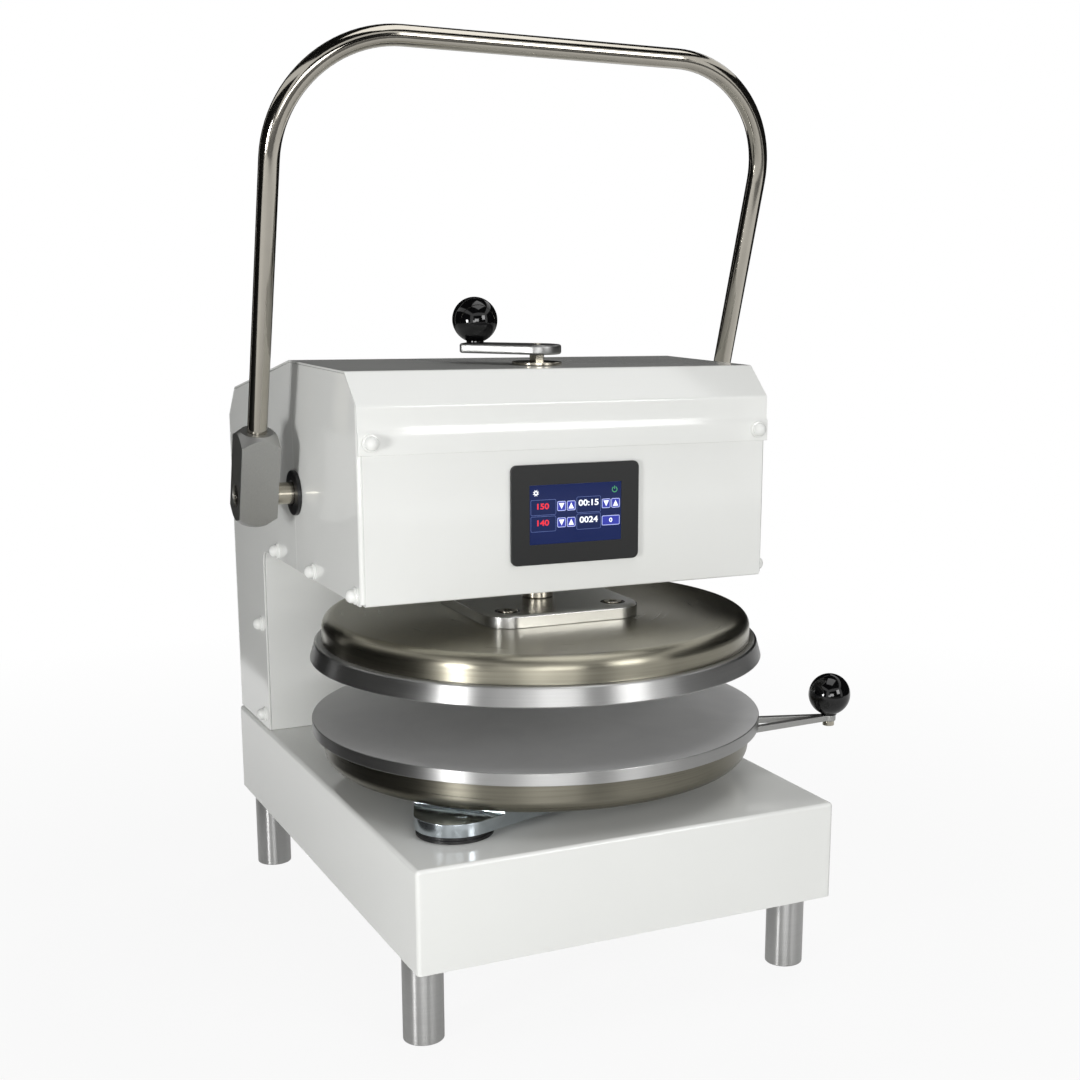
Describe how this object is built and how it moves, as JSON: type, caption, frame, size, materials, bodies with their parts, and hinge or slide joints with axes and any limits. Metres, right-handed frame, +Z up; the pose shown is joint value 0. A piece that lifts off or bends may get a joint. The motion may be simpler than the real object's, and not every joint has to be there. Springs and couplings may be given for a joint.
{
  "type": "heated dough press",
  "caption": "Countertop heated dough press: a pull-down handle lowers the upper platen by rack and pinion, a crank sets the gap, and the lower platen swings out.",
  "frame": {"origin": "the middle of the whole part's footprint, on the surface that it stands on", "axes": "+Z up, +Y to the back of the press, +X to the user's right when facing the front"},
  "size_m": [0.5847, 0.625, 0.9004],
  "materials": {
    "powder_coat": "gloss white powder coat",
    "machined_steel": "machined",
    "stainless": "brushed and polished",
    "aluminium": "machined satin",
    "zinc_plate": "bright zinc plate",
    "bronze": "oiled sintered bronze",
    "black_plastic": "gloss",
    "charcoal_plastic": "satin",
    "screen": "gloss, lit",
    "circuit_board": "solder mask",
    "heater": "mica faced",
    "black_rubber": "matt"
  },
  "bodies": {
    "machine_frame": {"base_shell": "powder_coat", "base_bottom": "machined_steel", "leg_front_left": "aluminium", "leg_front_right": "aluminium", "leg_rear_left": "aluminium", "leg_rear_right": "aluminium", "head_side_left": "powder_coat", "head_side_right": "powder_coat", "column_side_left": "powder_coat", "column_side_right": "powder_coat", "top_cover": "powder_coat", "rear_cover": "powder_coat", "front_panel": "powder_coat", "throat_panel": "powder_coat", "cover_nut_left": "powder_coat", "cover_nut_right": "powder_coat", "display_bezel": "charcoal_plastic", "display_screen": "screen", "control_board": "circuit_board", "frame_plate_left": "machined_steel", "frame_plate_right": "machined_steel", "top_bridge": "machined_steel", "ram_guide": "machined_steel", "ram_bush": "bronze", "spindle_bush": "bronze", "spindle_flange": "machined_steel", "shaft_bearing_left": "black_plastic", "shaft_bearing_right": "black_plastic", "gas_spring_tube": "black_plastic", "pivot_plate": "machined_steel", "pivot_post": "machined_steel", "pivot_washer": "black_plastic", "swing_stop": "black_rubber", "rest_pad": "black_rubber", "cable_gland": "black_plastic"},
    "handle": {"cross_shaft": "stainless", "pinion": "machined_steel", "handle_block_left": "machined_steel", "handle_block_right": "machined_steel", "handle_tube": "stainless"},
    "crosshead_carriage": {"crosshead": "machined_steel", "rack": "machined_steel", "nut_retainer": "machined_steel", "gas_spring_rod": "stainless"},
    "adjuster": {"adjuster_nut": "bronze"},
    "upper_press": {"ram": "stainless", "mounting_plate": "aluminium", "upper_dish": "stainless", "upper_platen": "aluminium", "upper_heater": "heater"},
    "thickness_crank": {"crank_spindle": "machined_steel", "crank_arm": "aluminium", "crank_knob": "black_plastic"},
    "swing_carrier": {"swing_arm": "zinc_plate", "lower_pan": "stainless", "lower_platen": "aluminium", "lower_heater": "heater", "swing_fork": "machined_steel", "swing_knob": "black_plastic", "swing_knob_bolt": "machined_steel"}
  },
  "joints": [
    {"name": "handle_pull", "type": "hinge", "parent": "machine_frame", "child": "handle", "pos_m": [-0.01875, 0.0335, 0.466], "axis": [1, 0, 0], "range_deg": [0, 85], "stiffness_Nm_per_rad": 3, "springref_deg": -85.94},
    {"name": "crosshead_slide", "type": "slide", "parent": "machine_frame", "child": "crosshead_carriage", "axis": [0, 0, -1], "range_m": [0, 0.0535], "stiffness_N_per_m": 1500, "springref_m": -0.2},
    {"name": "crank_turn", "type": "hinge", "parent": "machine_frame", "child": "thickness_crank", "pos_m": [-0.01875, -0.0825, 0.581], "axis": [0, 0, 1], "range_deg": [-540, 540]},
    {"name": "nut_turn", "type": "hinge", "parent": "crosshead_carriage", "child": "adjuster", "pos_m": [-0.01875, -0.0825, 0.523], "axis": [0, 0, 1], "range_deg": [-541, 541]},
    {"name": "ram_adjust", "type": "slide", "parent": "crosshead_carriage", "child": "upper_press", "axis": [0, 0, 1], "range_m": [-0.006, 0.006]},
    {"name": "platen_swing", "type": "hinge", "parent": "machine_frame", "child": "swing_carrier", "pos_m": [-0.16775, -0.2305, 0.194], "axis": [0, 0, -1], "range_deg": [0, 90]}
  ],
  "couplings": [
    {"joint": "crosshead_slide", "follows": "handle_pull", "m_per_rad": 0.036},
    {"joint": "crank_turn", "follows": "ram_adjust", "rad_per_m": 1570.8},
    {"joint": "nut_turn", "follows": "ram_adjust", "rad_per_m": 1570.8}
  ]
}
